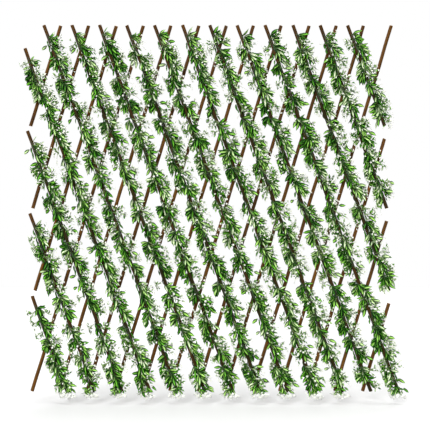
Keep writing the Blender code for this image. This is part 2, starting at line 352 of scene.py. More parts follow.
# Depth and radius along a nail, from its head in front to its clinched tip behind
NAIL_PROFILE = np.array((
    (HEAD_FRONT - 0.25 * MM, 0.0), (HEAD_FRONT - 0.18 * MM, 0.5 * HEAD_RADIUS),
    (HEAD_FRONT + 0.1 * MM, 0.9 * HEAD_RADIUS), (HEAD_FRONT + 0.4 * MM, HEAD_RADIUS),
    (HEAD_FRONT + 0.9 * MM, 0.96 * HEAD_RADIUS), (HEAD_FRONT + 1.05 * MM, SHAFT_RADIUS),
    (TIP_BACK - 0.7 * MM, SHAFT_RADIUS), (TIP_BACK - 0.5 * MM, 1.25 * SHAFT_RADIUS),
    (TIP_BACK - 0.1 * MM, 1.2 * SHAFT_RADIUS), (TIP_BACK, 0.7 * SHAFT_RADIUS), (TIP_BACK, 0.0)))


def nail_surface(rod, draw):
    """Nails as a profile turned about Y at each crossing: centre + radius * (cos a, sin a)."""
    angle = ring_angles(NAIL_SIDES)
    depth, radius = NAIL_PROFILE.T
    ring = np.cos(angle)[:, None] * RIGHT + np.sin(angle)[:, None] * UP
    centres = axis_at(rod, rod.nails) * (1, 0, 1)
    shape = radius[:, None, None] * ring - depth[:, None, None] * FORWARD
    # No material reads this tone; its draws keep the later ones in their order
    return skins(centres[:, None, None] + shape, 2 * np.pi * HEAD_RADIUS, depth,
                 tone=draw.uniform(0, 1, (len(centres), 1, 1)))


# Garlands. Ranges of asides and tilts are in degrees; where there are two of them, the first is for
# the rod's right and the second for its left

STEM_RADIUS = 1.4 * MM
STEM_SIDES = 6
STEM_STEP = 3 * MM
SEAT_GAP = 0.3 * MM
STEM_ROUND = ROD_RADIUS + SEAT_GAP + STEM_RADIUS
STEM_START = 0.019
TIE_LENGTH = 0.012
TIE_TURNS = 2
GARLAND_END = 0.036
STEM_SWAY = math.radians(45)
NAIL_CLEARANCE = 1.2 * MM
NAIL_NEAR = 8 * MM
TURN_FROM, TURN_LENGTH = 0.2, 0.6
# Below the tie the stem carries little but the crown for a while, so the rods' tops show
SPARSE_TOP = 30 * MM
LEAFY_FROM = STEM_START + TIE_LENGTH + SPARSE_TOP
SLIM_FROM = STEM_START + TIE_LENGTH + SPARSE_TOP / 2


def stem_angle(rod, along):
    """Where round the rod the stem lies: a tight tie at the top, then by turns a gentle sway down
    the front, sway * sin(2 pi field), and one whole turn eased in and out."""
    fields = (along - rod.nails[0]) / rod.pitch
    field = np.floor(fields)
    share = fields - field
    odd = (field % 2 == 1) & (field >= 0) & (field < len(rod.nails) - 1)
    eased = np.clip((share - TURN_FROM) / TURN_LENGTH, 0, 1)
    eased = eased * eased * (3 - 2 * eased)
    tied = TIE_TURNS * np.clip((along - STEM_START) / TIE_LENGTH, 0, 1)
    sway = STEM_SWAY * np.sin(2 * np.pi * share) * (fields > 0)
    return 2 * np.pi * (tied + np.where(odd, eased, 0)) + np.where(odd, 0, sway)


def stem_points(rod, along):
    """Points on the stem's axis: beside the rod, and a little further out over each nail head."""
    to_nail = np.abs(along[..., None] - rod.nails).min(-1)
    radius = STEM_ROUND + NAIL_CLEARANCE * np.exp(-(to_nail / NAIL_NEAR) ** 2)
    return round_rod(rod, along, stem_angle(rod, along), radius)


def stem_surface(rod):
    """The stem as one tube from its tie to above the rod's foot."""
    end = rod.length - GARLAND_END
    along = np.linspace(STEM_START, end, int((end - STEM_START) / STEM_STEP))
    return tubes(stem_points(rod, along)[None], STEM_RADIUS, STEM_SIDES)


LEAF_STATIONS = np.array((0.0, 0.1, 0.34, 0.64, 0.88, 1.0))
SMALL_STATIONS = np.array((0.0, 0.25, 0.65, 1.0))
LEAF_AROUND = 6
LEAF_THICKNESS = 0.5 * MM
# The smaller the first power, the nearer its foot a leaf is widest; the larger the second, the
# nearer its edges it folds up
WIDTH_POWER = 0.8
FOLD_POWER = 1.4
RIGHT_REACH = 46 * MM
LEFT_REACH = 34 * MM
FREE_SHARE = 0.7
FURTHEST_FORWARD = -36 * MM


def bearing(aside, tilt):
    """Unit vectors: aside is the angle from straight down towards the right, tilt the one
    forward."""
    level = np.cos(aside)[..., None] * -UP + np.sin(aside)[..., None] * RIGHT
    return np.cos(tilt)[..., None] * level + np.sin(tilt)[..., None] * FORWARD


def scattered(draw, directions, scatter, *counts):
    """Unit vectors about the directions, each moved by a normal draw."""
    return unit(directions + draw.normal(0, scatter, (*counts, 3)))


def drawn_angles(draw, degrees, count):
    """Angles in radians, drawn from a range in degrees."""
    return np.radians(draw.uniform(*degrees, count))


def either_side(draw, at_right, right_degrees, left_degrees):
    """An angle in radians for each place, from the range for its side of the rod."""
    count = len(at_right)
    return np.where(at_right, drawn_angles(draw, right_degrees, count),
                    drawn_angles(draw, left_degrees, count))


def held_in(rod, points):
    """Keeps points within the garland's reach: past a free share of the reach, the distance aside
    is free + rest * tanh(over / rest). The depth is cut off at its furthest."""
    aside = (points - rod.top) @ rod.right
    reach = np.where(aside > 0, RIGHT_REACH, LEFT_REACH)
    free = FREE_SHARE * reach
    over = np.maximum(np.abs(aside) - free, 0)
    rest = reach - free
    held = np.sign(aside) * (free + rest * np.tanh(over / rest))
    shift = np.where(over > 0, held - aside, 0)
    points = points + shift[..., None] * rod.right
    points[..., 1] = np.maximum(points[..., 1], FURTHEST_FORWARD)
    return points


def leaf_surface(rod, base, direction, facing, length, shape, tone, stations=LEAF_STATIONS):
    """Leaves as closed lens sections. The midline leaves its base along direction and bends away
    from facing on an arc of curl radians. At a station v half its width is width / 2 *
    sin(pi v^width power), and its section is an ellipse folded up by cup * |x|^fold power."""
    width = shape.slimness * length
    curl = np.broadcast_to(shape.curl, length.shape)
    cup = np.broadcast_to(shape.cup, length.shape)
    facing = unit(facing - (facing * direction).sum(-1, keepdims=True) * direction)
    side = np.cross(direction, facing)
    angle = curl[:, None] * stations
    ahead = length[:, None] * np.sin(angle) / curl[:, None]
    aback = length[:, None] * (1 - np.cos(angle)) / curl[:, None]
    middle = (base[:, None] + ahead[..., None] * direction[:, None]
              - aback[..., None] * facing[:, None])
    normal = (np.cos(angle)[..., None] * facing[:, None]
              + np.sin(angle)[..., None] * direction[:, None])
    profile = np.sin(np.pi * stations ** WIDTH_POWER)
    profile[-1] = 0.0
    half = width[:, None] / 2 * profile
    turn = ring_angles(LEAF_AROUND)
    x, z = np.cos(turn), np.sin(turn)
    lift = (LEAF_THICKNESS / 2 * profile[:, None] * z
            + cup[:, None, None] * half[..., None] * np.abs(x) ** FOLD_POWER)
    points = (middle[:, :, None] + (half[..., None] * x)[..., None] * side[:, None, None]
              + lift[..., None] * normal[:, :, None])
    return skins(held_in(rod, points), 1.0, stations, tone=tone[:, None, None])


def curved_paths(base, direction, length, droop, steps):
    """Paths that leave a base along a direction and droop: after a share t of its length a path
    is at base + length * (t * direction - droop * t^2 * up)."""
    t = np.linspace(0, 1, steps)
    return (base[:, None] + (length[:, None] * t)[..., None] * direction[:, None]
            - (droop * length[:, None] * t ** 2)[..., None] * UP)


def spaced(draw, spacing, start, end):
    """Places along a rod at a spacing, each moved by up to half of it."""
    places = np.arange(start, end, spacing)
    return np.clip(places + draw.uniform(-0.5, 0.5, len(places)) * spacing, start, end)


# The cosine of the furthest angle round the rod that still counts as beside it
FLANK = -0.35


def in_front(rod, along):
    """Which places on the stem are in front of the rod or beside it."""
    return np.cos(stem_angle(rod, along)) > FLANK


def stem_places(rod, draw, spacing, start):
    """Places on the stem at a spacing, from a start to the garland's end, less those behind."""
    along = spaced(draw, spacing, start, rod.length - GARLAND_END)
    return along[in_front(rod, along)]


# Few leaves and blossoms lie right over the rod, so that it shows as a dark line
COVER_HALF = 8 * MM
COVER_LOSS = 0.86


def covering(rod, points):
    """Which points lie right over the rod."""
    return np.abs((points - rod.top) @ rod.right) < COVER_HALF


# Sprigs grow in tufts. Each kind of tuft has its share of all tufts, and for its sprigs the ranges
# of aside, tilt and length
TUFT_KINDS = {
    "right": (0.54, (34, 90), (14, 38), (10 * MM, 26 * MM)),
    "left": (0.30, (-50, -12), (2, 14), (8 * MM, 18 * MM)),
    "hanging": (0.16, (22, 44), (8, 28), (9 * MM, 24 * MM)),
}
TUFT_SPACING = 32 * MM
TUFT_SPRIGS = 6
TUFT_HALF = 11 * MM
LEAF_PLACES = np.array((0.1, 0.42, 0.66, 0.86, 1.0))
LEAF_SPREADS = np.radians((40, -38, 32, -28, 4))
SPREAD_SHARES = (0.6, 1.3)
LEAF_SCATTER = 0.10
LEAF_LENGTHS = (20 * MM, 34 * MM)
LEAF_SLIMNESS = (0.32, 0.42)
LEAF_CURLS = (0.15, 0.9)
LEAF_CUPS = (0.1, 0.35)
LEAF_LOOK = FORWARD + 0.3 * UP
LOOK_SCATTER = 0.5
TONE_SCATTER = 0.28
LEAF_LOSS = 0.12
DROOP = 0.42
SPRIG_RADIUS = 0.45 * MM
SPRIG_SIDES = 4
SPRIG_STEPS = 5
SPRIG_TONE = 0.6


def tufts(rod, draw, start, end):
    """Where each sprig of the tufts grows on the stem, its angle aside, its tilt and its length."""
    centres = spaced(draw, TUFT_SPACING, start + TUFT_HALF, end - TUFT_HALF)
    kind_shares = [kind[0] for kind in TUFT_KINDS.values()]
    kinds = draw.choice(len(TUFT_KINDS), len(centres), p=kind_shares)
    kinds = np.repeat(kinds, TUFT_SPRIGS)
    along = np.repeat(centres, TUFT_SPRIGS) + draw.uniform(-TUFT_HALF, TUFT_HALF, len(kinds))
    shown = in_front(rod, along)
    ranges = np.array([kind[1:] for kind in TUFT_KINDS.values()])[kinds[shown]]
    shares = draw.uniform(0, 1, (len(ranges), 3))
    aside, tilt, length = (ranges[..., 0] + shares * (ranges[..., 1] - ranges[..., 0])).T
    return along[shown], np.radians(aside), np.radians(tilt), length


def sprigs(rod, draw, along, aside, tilt, length):
    """Sprigs that grow from the stem: a thin drooping stalk each, with leaves by turns on both of
    its sides and one at its tip. Gives the stalks' surface and the leaves' surface."""
    base = stem_points(rod, along)
    direction = bearing(aside, tilt)
    path = curved_paths(base, direction, length, DROOP, SPRIG_STEPS)
    stalks = tubes(held_in(rod, path), SPRIG_RADIUS, SPRIG_SIDES, tone=SPRIG_TONE)
    places = LEAF_PLACES[None, :, None]
    grown = (base[:, None] + length[:, None, None] * places * direction[:, None]
             - DROOP * length[:, None, None] * places ** 2 * UP)
    tangent = unit(direction[:, None] - 2 * DROOP * places * UP)
    flip = draw.choice((-1.0, 1.0), (len(along), 1))
    spread = flip * LEAF_SPREADS * draw.uniform(*SPREAD_SHARES, (len(along), len(LEAF_PLACES)))
    lateral = unit(np.cross(tangent, FORWARD))
    leaf_direction = scattered(draw, np.cos(spread)[..., None] * tangent
                               + np.sin(spread)[..., None] * lateral,
                               LEAF_SCATTER, *spread.shape)
    size = draw.uniform(*LEAF_LENGTHS, spread.shape)
    heart = grown + (size / 2)[..., None] * leaf_direction
    kept = draw.uniform(0, 1, spread.shape) > np.where(covering(rod, heart), COVER_LOSS,
                                                       LEAF_LOSS)
    size = size[kept]
    count = len(size)
    facing = scattered(draw, LEAF_LOOK, LOOK_SCATTER, count)
    shared_tone = np.repeat(draw.uniform(0.0, 1.0, (len(along), 1)), len(LEAF_PLACES), 1)[kept]
    tone = np.clip(shared_tone + draw.normal(0, TONE_SCATTER, count), 0, 1)
    shape = LeafShape(draw.uniform(*LEAF_SLIMNESS, count), draw.uniform(*LEAF_CURLS, count),
                      draw.uniform(*LEAF_CUPS, count))
    leaves = leaf_surface(rod, grown[kept], leaf_direction[kept], facing, size, shape, tone)
    return stalks, leaves


PETALS = 5
BLOSSOM_SHARES = np.array((0.0, 0.35, 1.0, 0.0))
BLOSSOM_LIFTS = np.array((0.14, 0.05, 0.16, -0.14))
# Most blossoms look forward and a little up
BLOSSOM_LOOK = np.array((-0.2, -1.0, 0.35))
PETAL_NOTCH = 0.26
# Blossoms that face up or down by a larger share than this take their side from the right
STEEP_SHARE = 0.9


def blossom_surface(rod, centre, facing, radius, tone):
    """Five-petalled blossoms as closed cups: ring radius = share * (1 - notch * share *
    (1 - cos(5 a))), lift along facing by a table of shares of the radius."""
    angle = ring_angles(2 * PETALS)
    reference = np.where(np.abs(facing @ UP)[:, None] > STEEP_SHARE, RIGHT, UP)
    side = unit(np.cross(facing, reference))
    other = np.cross(facing, side)
    petal = 1 - PETAL_NOTCH * BLOSSOM_SHARES[:, None] * (1 - np.cos(PETALS * angle))
    reach = BLOSSOM_SHARES[:, None] * petal
    ring = np.cos(angle)[:, None] * side[:, None] + np.sin(angle)[:, None] * other[:, None]
    flat = reach[None, ..., None] * ring[:, None]
    lifted = BLOSSOM_LIFTS[None, :, None, None] * facing[:, None, None]
    points = centre[:, None, None] + radius[:, None, None, None] * (flat + lifted)
    return skins(held_in(rod, points), 1.0, BLOSSOM_SHARES, tone=tone[:, None, None])


SPRAY_SPACING = 17 * MM
SPRAY_BLOSSOMS = 14
SPRAY_AT_RIGHT = 0.75
SPRAY_ASIDES = ((30, 105), (-65, -5))
SPRAY_TILTS = ((2, 20), (0, 8))
SPRAY_LENGTHS = (24 * MM, 43 * MM)
SPRAY_SPREAD = np.array((11.0, 5.0, 11.0)) * MM
KNEE_SHARE = 0.7
KNEE_SCATTER = 1.5 * MM
FILAMENT_RADIUS = 0.32 * MM
FILAMENT_SIDES = 3
FILAMENT_STEPS = 5
FILAMENT_TONE = 0.2
SMALL_BLOSSOM = (2.8 * MM, 5.0 * MM)
SMALL_AHEAD = 0.2
SMALL_SCATTER = 0.3
TINY_LEAF = LeafShape(slimness=0.4, curl=0.4, cup=0.25)
TINY_LENGTHS = (8 * MM, 16 * MM)
TINY_STEPS = (2, 4)
TINY_SCATTER = 0.5
TINY_LOOK_SCATTER = 0.4


def sprays(rod, draw):
    """Clouds of small blossoms, mostly at the rod's right. From one place on the stem thin stalks
    run together to a knee and then apart: (1 - t)^2 root + 2 t (1 - t) knee + t^2 tip. Each has a
    blossom at its tip and a tiny leaf. Gives the surfaces of stalks, blossoms and leaves."""
    along = stem_places(rod, draw, SPRAY_SPACING, SLIM_FROM)
    clouds = len(along)
    at_right = draw.uniform(0, 1, clouds) < SPRAY_AT_RIGHT
    aside = either_side(draw, at_right, *SPRAY_ASIDES)
    tilt = either_side(draw, at_right, *SPRAY_TILTS)
    length = draw.uniform(*SPRAY_LENGTHS, clouds)
    root = stem_points(rod, along)
    heart = root + length[:, None] * bearing(aside, tilt)
    root, heart = (np.repeat(points, SPRAY_BLOSSOMS, 0) for points in (root, heart))
    tip = heart + draw.normal(0, 1, heart.shape) * SPRAY_SPREAD
    kept = draw.uniform(0, 1, len(tip)) > COVER_LOSS * covering(rod, tip)
    root, heart, tip = root[kept], heart[kept], tip[kept]
    count = len(tip)
    knee = root + KNEE_SHARE * (heart - root) + draw.normal(0, KNEE_SCATTER, (count, 3))
    t = np.linspace(0, 1, FILAMENT_STEPS)[:, None]
    path = held_in(rod, (1 - t) ** 2 * root[:, None] + 2 * t * (1 - t) * knee[:, None]
                   + t ** 2 * tip[:, None])
    stalks = tubes(path, FILAMENT_RADIUS, FILAMENT_SIDES, tone=FILAMENT_TONE)
    ahead = unit(path[:, -1] - path[:, -2])
    facing = scattered(draw, BLOSSOM_LOOK + SMALL_AHEAD * ahead, SMALL_SCATTER, count)
    blossoms = blossom_surface(rod, path[:, -1], facing, draw.uniform(*SMALL_BLOSSOM, count),
                               draw.uniform(0, 1, count))
    turned = scattered(draw, ahead, TINY_SCATTER, count)
    size = draw.uniform(*TINY_LENGTHS, count)
    base = path[np.arange(count), draw.integers(*TINY_STEPS, count)]
    leaf_facing = scattered(draw, FORWARD, TINY_LOOK_SCATTER, count)
    leaves = leaf_surface(rod, base, turned, leaf_facing, size, TINY_LEAF,
                          draw.uniform(0, 1, count), SMALL_STATIONS)
    return stalks, blossoms, leaves


CLING_SPACING = 7 * MM
CLING_ROUND = math.radians(75)
CLING_ASIDES = (4, 30)
CLING_TILTS = (0, 9)
CLING_LENGTHS = (13 * MM, 21 * MM)
CLING_STEP = 3 * MM
CLING_OUTWARD = 0.5
CLING_SCATTER = 0.3
CLING_LEAF = LeafShape(slimness=0.34, curl=0.3, cup=0.2)
# The clinging leaves take only the darkest tones: painted shade within the garland
CLING_SHADE_TONES = (0, 0.25)


def clinging_leaves(rod, draw):
    """Slim leaves on short stalks that lie along both flanks of the rod, painted dark as shade
    within the garland. Gives the surfaces of stalks and leaves."""
    along = stem_places(rod, draw, CLING_SPACING, SLIM_FROM)
    count = len(along)
    hand = draw.choice((-1.0, 1.0), count)
    root = stem_points(rod, along)
    base = round_rod(rod, along + CLING_STEP, hand * CLING_ROUND, STEM_ROUND)
    lean = math.atan(FRONT_SLOPE)
    direction = bearing(lean + hand * drawn_angles(draw, CLING_ASIDES, count),
                        drawn_angles(draw, CLING_TILTS, count))
    size = draw.uniform(*CLING_LENGTHS, count)
    facing = scattered(draw, FORWARD + CLING_OUTWARD * hand[:, None] * RIGHT, CLING_SCATTER,
                       count)
    leaves = leaf_surface(rod, base, direction, facing, size, CLING_LEAF,
                          draw.uniform(*CLING_SHADE_TONES, count))
    stalks = tubes(np.stack([root, base], 1), SPRIG_RADIUS, SPRIG_SIDES, tone=SPRIG_TONE)
    return stalks, leaves


BACK_LEAF_SHARES = np.array((0.44, 0.53))
BACK_LEAF = LeafShape(slimness=0.3, curl=0.2, cup=0.2)
BACK_LEAF_LENGTHS = (20 * MM, 26 * MM)
BACK_LEAF_OUTWARD = 0.12
BACK_LEAF_SCATTER = 0.05
BACK_LOOK_SCATTER = 0.2


def behind_leaves(rod, draw):
    """Leaves that hang behind the rod in the fields where the stem goes round it."""
    fields = np.arange(1, len(rod.nails) - 1, 2)
    along = (rod.nails[0] + (fields[:, None] + BACK_LEAF_SHARES) * rod.pitch).ravel()
    if not len(along):
        return []
    count = len(along)
    direction = scattered(draw, rod.down - BACK_LEAF_OUTWARD * FORWARD, BACK_LEAF_SCATTER, count)
    size = draw.uniform(*BACK_LEAF_LENGTHS, count)
    facing = scattered(draw, -FORWARD, BACK_LOOK_SCATTER, count)
    return [leaf_surface(rod, stem_points(rod, along), direction, facing, size, BACK_LEAF,
                         draw.uniform(0, 1, count))]


LONE_SPACING = 54 * MM
LONE_AT_RIGHT = 0.65
LONE_ASIDES = ((70, 112), (-95, -60))
LONE_TILTS = ((18, 40), (4, 12))
LONE_STALKS = (12 * MM, 30 * MM)
LONE_DROOP = 0.2
LONE_LEAF = LeafShape(slimness=0.42, curl=0.4, cup=0.15)
LONE_LENGTHS = (24 * MM, 31 * MM)
LONE_SCATTER = 0.1 * MM
LONE_LOOK_SCATTER = 0.2
LONE_TONES = (0.4, 0.9)


def lone_leaves(rod, draw):
    """Large single leaves that reach out sideways, each on a thin stalk of its own. Gives the
    surfaces of stalks and leaves."""
    first = SLIM_FROM + draw.uniform(0, LONE_SPACING)
    along = stem_places(rod, draw, LONE_SPACING, first)
    count = len(along)
    at_right = draw.uniform(0, 1, count) < LONE_AT_RIGHT
    aside = either_side(draw, at_right, *LONE_ASIDES)
    tilt = either_side(draw, at_right, *LONE_TILTS)
    length = np.where(at_right, draw.uniform(*LONE_STALKS, count), LONE_STALKS[0])
    path = held_in(rod, curved_paths(stem_points(rod, along), bearing(aside, tilt), length,
                                     LONE_DROOP, SPRIG_STEPS))
    size = draw.uniform(*LONE_LENGTHS, count)
    ahead = scattered(draw, path[:, -1] - path[:, -2], LONE_SCATTER, count)
    facing = scattered(draw, FORWARD, LONE_LOOK_SCATTER, count)
    leaves = leaf_surface(rod, path[:, -1], ahead, facing, size, LONE_LEAF,
                          draw.uniform(*LONE_TONES, count))
    return tubes(path, SPRIG_RADIUS, SPRIG_SIDES, tone=SPRIG_TONE), leaves


# Short sprigs flare out at the garland's end and make a crown below its tie
FLARE_SPRIGS = 7
FLARE_HEIGHT = 55 * MM
FLARE_ASIDES = (-38, 58)
FLARE_TILTS = (6, 28)
CROWN_SPRIGS = 3
CROWN_HEIGHT = 20 * MM
CROWN_ASIDES = (62, 128)
CROWN_TURN = 12
CROWN_TILTS = (6, 26)
SHORT_SPRIG = (8 * MM, 16 * MM)


def short_sprigs(rod, draw, along, degrees, tilts):
    """Short sprigs at places on the stem, with an angle aside for each and a range of tilts."""
    return sprigs(rod, draw, along, np.radians(degrees), drawn_angles(draw, tilts, len(along)),
                  draw.uniform(*SHORT_SPRIG, len(along)))


def garland(rod, draw):
    """Stalks and leaves of one rod's garland: a crown of short sprigs at the right of the rod's
    top, clinging leaves, tufts and lone leaves all the way down, and a flare at its end."""
    end = rod.length - GARLAND_END
    stalks, leaves = sprigs(rod, draw, *tufts(rod, draw, LEAFY_FROM, end))
    flared = end - draw.uniform(0, FLARE_HEIGHT, FLARE_SPRIGS)
    aside = np.linspace(*FLARE_ASIDES, FLARE_SPRIGS)
    more_stalks, more_leaves = short_sprigs(rod, draw, flared, aside, FLARE_TILTS)
    crowned = STEM_START + TIE_LENGTH + draw.uniform(0, CROWN_HEIGHT, CROWN_SPRIGS)
    aside = (np.linspace(*CROWN_ASIDES, CROWN_SPRIGS)
             + draw.uniform(-CROWN_TURN, CROWN_TURN, CROWN_SPRIGS))
    top_stalks, top_leaves = short_sprigs(rod, draw, crowned, aside, CROWN_TILTS)
    short_stalks, slim_leaves = clinging_leaves(rod, draw)
    long_stalks, large_leaves = lone_leaves(rod, draw)
    return ([stalks, more_stalks, top_stalks, short_stalks, long_stalks],
            [leaves, more_leaves, top_leaves, slim_leaves, large_leaves]
            + behind_leaves(rod, draw))


BUNCH_BLOSSOMS = 28
BUNCH_HALF = np.array((29 * MM, 6 * MM, 8 * MM))
BUNCH_LOOSENESS = (0.5, 1.15)
BUNCH_SHEAR = 0.42
BUNCH_DROP = 11 * MM
BUNCH_SHIFT = (-21 * MM, 2 * MM)
BUNCH_FORWARD = 19 * MM
BUNCH_OUTWARD = 0.3
BUNCH_SCATTER = 0.2
BIG_BLOSSOM = (5.5 * MM, 8.5 * MM)
# The smaller blossom inside each large one: its size and how far it stands out, as shares
INNER_SHARE = 0.62
INNER_LIFT_SHARE = 0.18
BUNCH_STALK_RADIUS = 0.5 * MM
BUNCH_STALK_TONE = 0.4
# The main stalk lies on the rod between these heights above its end
BUNCH_TIE = (14 * MM, -1 * MM)
BUNCH_TIE_STEPS = 5
BUNCH_LEAVES = 14
BUNCH_LEAF = LeafShape(slimness=0.36, curl=0.5, cup=0.2)
BUNCH_LEAF_LENGTHS = (15 * MM, 26 * MM)
BUNCH_LEAF_HEIGHT = 12 * MM
BUNCH_LEAF_SPREAD = np.array((8.0, 1.5, 5.0)) * MM
BUNCH_LEAF_ASIDES = (-78, 78)
BUNCH_LEAF_TILTS = (-5, 22)
BUNCH_LOOK_SCATTER = 0.3
BUNCH_LEAF_TONES = (0.1, 0.9)


def bunch(rod, draw):
    """Blossoms spread over an ellipsoid at the rod's foot by the golden angle, each on a stalk
    from above its middle, under a few hanging leaves. The ellipsoid is sheared, its right side
    further forward, so that bunches pass each other when the fence folds."""
    foot = rod.top + rod.length * rod.down
    middle = foot + draw.uniform(*BUNCH_SHIFT) * RIGHT - BUNCH_DROP * UP
    middle[1] = foot[1] - BUNCH_FORWARD + ROD_RADIUS
    number = np.arange(BUNCH_BLOSSOMS) + 0.5
    level = 1 - 2 * number / BUNCH_BLOSSOMS
    angle = number * np.pi * (3 - 5 ** 0.5) + draw.uniform(0, ANY_WAY)
    ball = np.stack([np.sqrt(1 - level ** 2) * np.cos(angle),
                     np.sqrt(1 - level ** 2) * np.sin(angle), level], -1)
    ball = ball * draw.uniform(*BUNCH_LOOSENESS, (BUNCH_BLOSSOMS, 1))
    centre = middle + ball * BUNCH_HALF
    centre[:, 1] -= BUNCH_SHEAR * (centre[:, 0] - foot[0])
    root = middle + BUNCH_DROP * UP
    path = np.stack([np.broadcast_to(root, centre.shape), (root + 2 * centre) / 3, centre], 1)
    facing = scattered(draw, BLOSSOM_LOOK + BUNCH_OUTWARD * ball, BUNCH_SCATTER, BUNCH_BLOSSOMS)
    radius = draw.uniform(*BIG_BLOSSOM, BUNCH_BLOSSOMS)
    tone = draw.uniform(0, 1, BUNCH_BLOSSOMS)
    outer = blossom_surface(rod, centre, facing, radius, tone)
    inner = blossom_surface(rod, centre + (INNER_LIFT_SHARE * radius)[:, None] * facing,
                            facing, INNER_SHARE * radius, tone)
    stalks = tubes(path, BUNCH_STALK_RADIUS, SPRIG_SIDES, tone=BUNCH_STALK_TONE)
    aside = drawn_angles(draw, BUNCH_LEAF_ASIDES, BUNCH_LEAVES)
    base = (root + BUNCH_LEAF_HEIGHT * UP
            + draw.normal(0, 1, (BUNCH_LEAVES, 3)) * BUNCH_LEAF_SPREAD)
    size = draw.uniform(*BUNCH_LEAF_LENGTHS, BUNCH_LEAVES)
    direction = bearing(aside, drawn_angles(draw, BUNCH_LEAF_TILTS, BUNCH_LEAVES))
    leaf_facing = scattered(draw, FORWARD, BUNCH_LOOK_SCATTER, BUNCH_LEAVES)
    leaves = leaf_surface(rod, base, direction, leaf_facing, size, BUNCH_LEAF,
                          draw.uniform(*BUNCH_LEAF_TONES, BUNCH_LEAVES))
    tie = round_rod(rod, rod.length - np.linspace(*BUNCH_TIE, BUNCH_TIE_STEPS), 0.0, STEM_ROUND)
    main_stalk = tubes(np.concatenate([tie, root[None]])[None], STEM_RADIUS, STEM_SIDES)
    return outer, inner, stalks, main_stalk, leaves


# Materials


def linear(code):
    """An sRGB hex colour as linear RGBA."""
    shares = [int(code[place:place + 2], 16) / 255 for place in (0, 2, 4)]
    return [share / 12.92 if share <= 0.04045 else ((share + 0.055) / 1.055) ** 2.4
            for share in shares] + [1.0]


def fill(tree, node, inputs):
    """Gives a node's inputs their values, or links where a value is another node's output."""
    for name, value in inputs.items():
        if isinstance(value, bpy.types.NodeSocket):
            tree.links.new(value, node.inputs[name])
        else:
            node.inputs[name].default_value = value


def add(tree, kind, inputs=None, **settings):
    """Adds a node. Settings are its own properties."""
    made = tree.nodes.new(kind)
    for name, value in settings.items():
        setattr(made, name, value)
    fill(tree, made, inputs or {})
    return made


def ramp(tree, factor, *stops):
    """A colour ramp's output: the stops are pairs of place and hex colour."""
    made = add(tree, "ShaderNodeValToRGB", {"Fac": factor})
    elements = made.color_ramp.elements
    while len(elements) < len(stops):
        elements.new(0.5)
    for element, (place, code) in zip(elements, stops):
        element.position = place
        element.color = linear(code)
    return made.outputs["Color"]


def new_material(name):
    """A material with its tree and its Principled shader."""
    material = bpy.data.materials.new(name)
    material.use_nodes = True
    tree = material.node_tree
    return material, tree, tree.nodes["Principled BSDF"]


def mark_of(tree, name):
    """A surface mark's number."""
    return add(tree, "ShaderNodeAttribute", attribute_name=name).outputs["Fac"]


def calculated(tree, operation, *values):
    """The output of a Math node."""
    return add(tree, "ShaderNodeMath", dict(enumerate(values)),
               operation=operation).outputs["Value"]


def remapped(tree, value, start, end, low, high):
    """A value moved from the range start to end into the range low to high, and held there."""
    return add(tree, "ShaderNodeMapRange", {"Value": value, "From Min": start, "From Max": end,
                                            "To Min": low, "To Max": high}).outputs["Result"]


def blended(tree, factor, first, second):
    """The colour between two colours. The Mix node's inputs 6 and 7 and output 2 are colours."""
    made = add(tree, "ShaderNodeMix", {"Factor": factor, 6: first, 7: second}, data_type="RGBA")
    return made.outputs[2]


def stained_willow():
    """Peeled willow sticks, stained reddish brown and varnished thinly: lengthwise streaks from
    the grain, darker knots, a soft shine and pale sawn ends. The dressed rods are darker and, lower
    down, patchy dark green: painted shade from their garlands."""
    material, tree, shader = new_material("stained_willow")
    place = add(tree, "ShaderNodeUVMap", uv_map="surface").outputs["UV"]
    tone = mark_of(tree, "tone")
    shift = add(tree, "ShaderNodeCombineXYZ", {"Z": tone})
    moved = add(tree, "ShaderNodeVectorMath", {0: place, 1: shift.outputs["Vector"]},
                operation="ADD").outputs["Vector"]
    # Grain streaks 1.3 mm wide and 60 mm long, and stain patches 9 mm wide and 110 mm long
    grain_place = add(tree, "ShaderNodeMapping", {"Vector": moved, "Scale": (770, 17, 40)})
    grain = add(tree, "ShaderNodeTexNoise", {"Vector": grain_place.outputs["Vector"],
                                             "Scale": 1.0, "Detail": 3.0, "Roughness": 0.6})
    patch_place = add(tree, "ShaderNodeMapping", {"Vector": moved, "Scale": (110, 9, 40)})
    patch = add(tree, "ShaderNodeTexNoise", {"Vector": patch_place.outputs["Vector"],
                                             "Scale": 1.0, "Detail": 2.0})
    streaks = ramp(tree, grain.outputs["Fac"], (0.3, "1b1003"), (0.46, "482c0b"),
                   (0.6, "784c18"), (0.75, "a86e28"))
    patches = ramp(tree, patch.outputs["Fac"], (0.3, "322209"), (0.5, "593a12"),
                   (0.7, "80541b"))
    light_wood = blended(tree, 0.45, streaks, patches)
    # Lower tones are darker: a random stain, and on the dressed rods also painted shade from the
    # garland
    stain_and_shade = calculated(tree, "MULTIPLY_ADD", tone, -0.75, 0.75)
    wood = blended(tree, stain_and_shade, light_wood, linear("2a1d0b"))
    # The garland's painted shade on the dressed rods is patchy along them, towards near-black green
    patchy_shade = remapped(tree, patch.outputs["Fac"], 0.38, 0.6, 0.3, 0.85)
    garland_shaded = blended(tree, calculated(tree, "MULTIPLY", mark_of(tree, "dye"), patchy_shade), wood,
                   linear("0f1a03"))
    knotted = blended(tree, calculated(tree, "MULTIPLY", mark_of(tree, "knot"), 0.8),
                      garland_shaded, linear("35190b"))
    sawn = blended(tree, mark_of(tree, "cut"), knotted, linear("cfa878"))
    bump = add(tree, "ShaderNodeBump", {"Height": grain.outputs["Fac"], "Strength": 0.5,
                                        "Distance": 0.25 * MM})
    fill(tree, shader, {"Base Color": sawn, "Roughness": 0.5, "IOR": 1.5,
                        "Specular IOR Level": 0.1, "Normal": bump.outputs["Normal"]})
    return material


